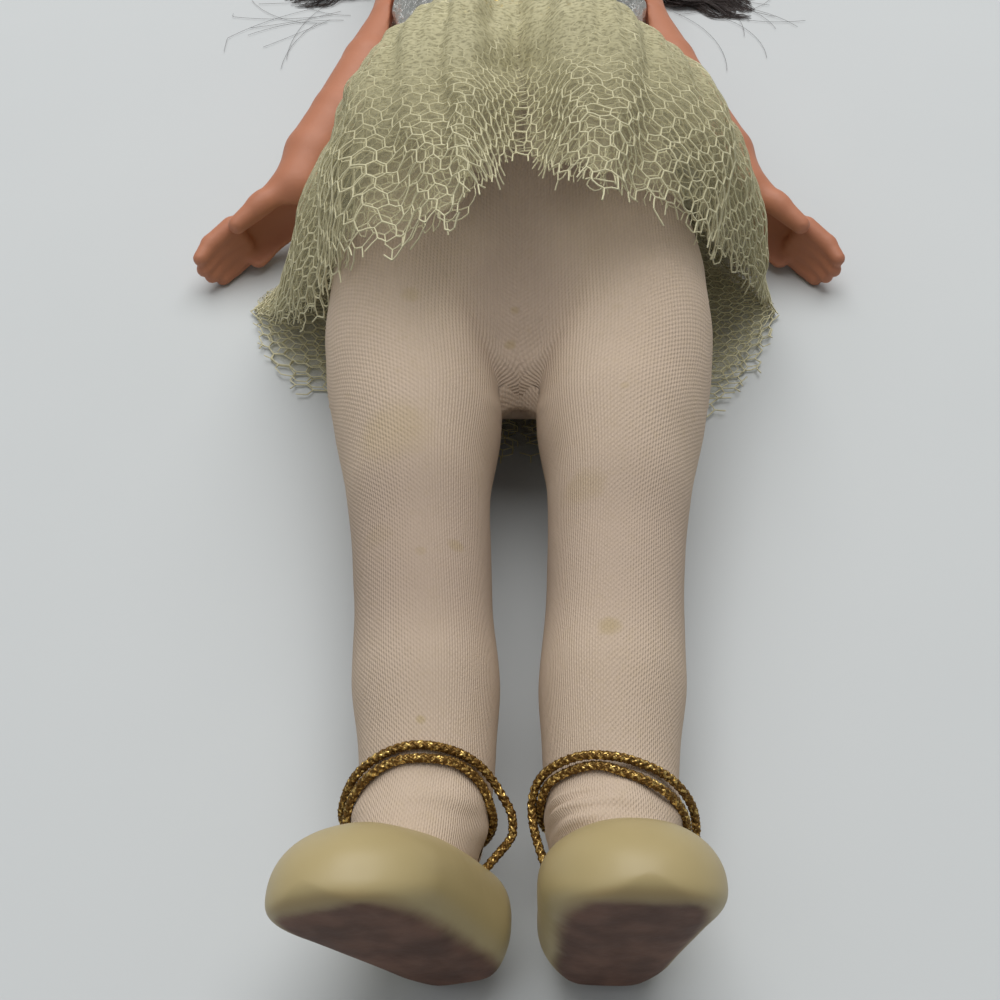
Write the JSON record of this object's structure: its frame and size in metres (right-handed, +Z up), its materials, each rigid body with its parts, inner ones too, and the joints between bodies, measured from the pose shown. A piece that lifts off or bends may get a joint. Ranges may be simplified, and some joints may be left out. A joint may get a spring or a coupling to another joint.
{
  "type": "ballerina doll",
  "caption": "Jointed vinyl ballerina doll on its back, with a net tutu, lame bodice, knit tights, slippers tied with gold cord, loose hair and sleep eyes.",
  "frame": {"origin": "on the surface that the doll lies on, under the middle of its length", "axes": "+Y towards the head, +Z up out of the face and chest, +X towards the doll's left hand"},
  "size_m": [0.1262, 0.3, 0.0649],
  "materials": {
    "body_plastic": "moulded, satin",
    "skin_vinyl": "soft vinyl, matt",
    "knit": "fine ribbed knit",
    "lame": "woven metallic thread, crinkled",
    "steel": "nickel plated",
    "tape": "woven tape",
    "gold_braid": "plaited metallic thread",
    "net": "hexagonal nylon net",
    "slipper_vinyl": "satin vinyl, worn sole",
    "gold_cord": "braided metallic thread",
    "hair": "loose nylon strands",
    "eye_cup": "moulded",
    "eyeball": "polished",
    "lead": "cast",
    "bristle": "nylon bristle"
  },
  "bodies": {
    "torso": {"torso_front": "body_plastic", "torso_back": "body_plastic", "tights_panty": "knit", "bodice": "lame", "strap_left": "lame", "strap_right": "lame", "stud_upper": "steel", "stud_lower": "steel", "skirt_tape": "tape", "waist_braid": "gold_braid", "skirt_outer": "net", "skirt_under": "net"},
    "head": {"head_shell": "skin_vinyl", "hair_cap": "hair", "hair_lock_left": "hair", "hair_lock_right": "hair", "eye_cup_left": "eye_cup", "eye_cup_right": "eye_cup"},
    "left_eye": {"eyeball_left": "eyeball", "eye_weight_left": "lead", "eyelashes_left": "bristle"},
    "left_arm": {"arm_left": "skin_vinyl"},
    "left_leg": {"leg_left": "body_plastic", "tights_leg_left": "knit", "shoe_left": "slipper_vinyl", "ankle_cord_left": "gold_cord"},
    "right_eye": {"eyeball_right": "eyeball", "eye_weight_right": "lead", "eyelashes_right": "bristle"},
    "right_arm": {"arm_right": "skin_vinyl"},
    "right_leg": {"leg_right": "body_plastic", "tights_leg_right": "knit", "shoe_right": "slipper_vinyl", "ankle_cord_right": "gold_cord"}
  },
  "joints": [
    {"name": "neck_turn", "type": "hinge", "parent": "torso", "child": "head", "pos_m": [0, 0.079, 0.024], "axis": [0, 1, 0], "range_deg": [-60, 60], "deforming": ["hair_lock_left", "hair_lock_right"]},
    {"name": "shoulder_left", "type": "hinge", "parent": "torso", "child": "left_arm", "pos_m": [0.0282, 0.066, 0.024], "axis": [-1, 0, 0], "range_deg": [-45, 170], "deforming": ["hair_lock_left", "hair_lock_right"]},
    {"name": "shoulder_right", "type": "hinge", "parent": "torso", "child": "right_arm", "pos_m": [-0.0282, 0.066, 0.024], "axis": [-1, 0, 0], "range_deg": [-45, 170], "deforming": ["hair_lock_left", "hair_lock_right"]},
    {"name": "hip_left", "type": "hinge", "parent": "torso", "child": "left_leg", "pos_m": [0.0125, -0.037, 0.024], "axis": [-1, 0, 0], "range_deg": [-12, 90], "deforming": ["skirt_outer", "skirt_under", "tights_panty"]},
    {"name": "hip_right", "type": "hinge", "parent": "torso", "child": "right_leg", "pos_m": [-0.0125, -0.037, 0.024], "axis": [-1, 0, 0], "range_deg": [-12, 90], "deforming": ["skirt_outer", "skirt_under", "tights_panty"]},
    {"name": "eye_left", "type": "hinge", "parent": "head", "child": "left_eye", "pos_m": [0.0102, 0.1148, 0.05259], "axis": [-1, 0, 0], "range_deg": [0, 48]},
    {"name": "eye_right", "type": "hinge", "parent": "head", "child": "right_eye", "pos_m": [-0.0102, 0.1148, 0.05259], "axis": [-1, 0, 0], "range_deg": [0, 48]}
  ]
}
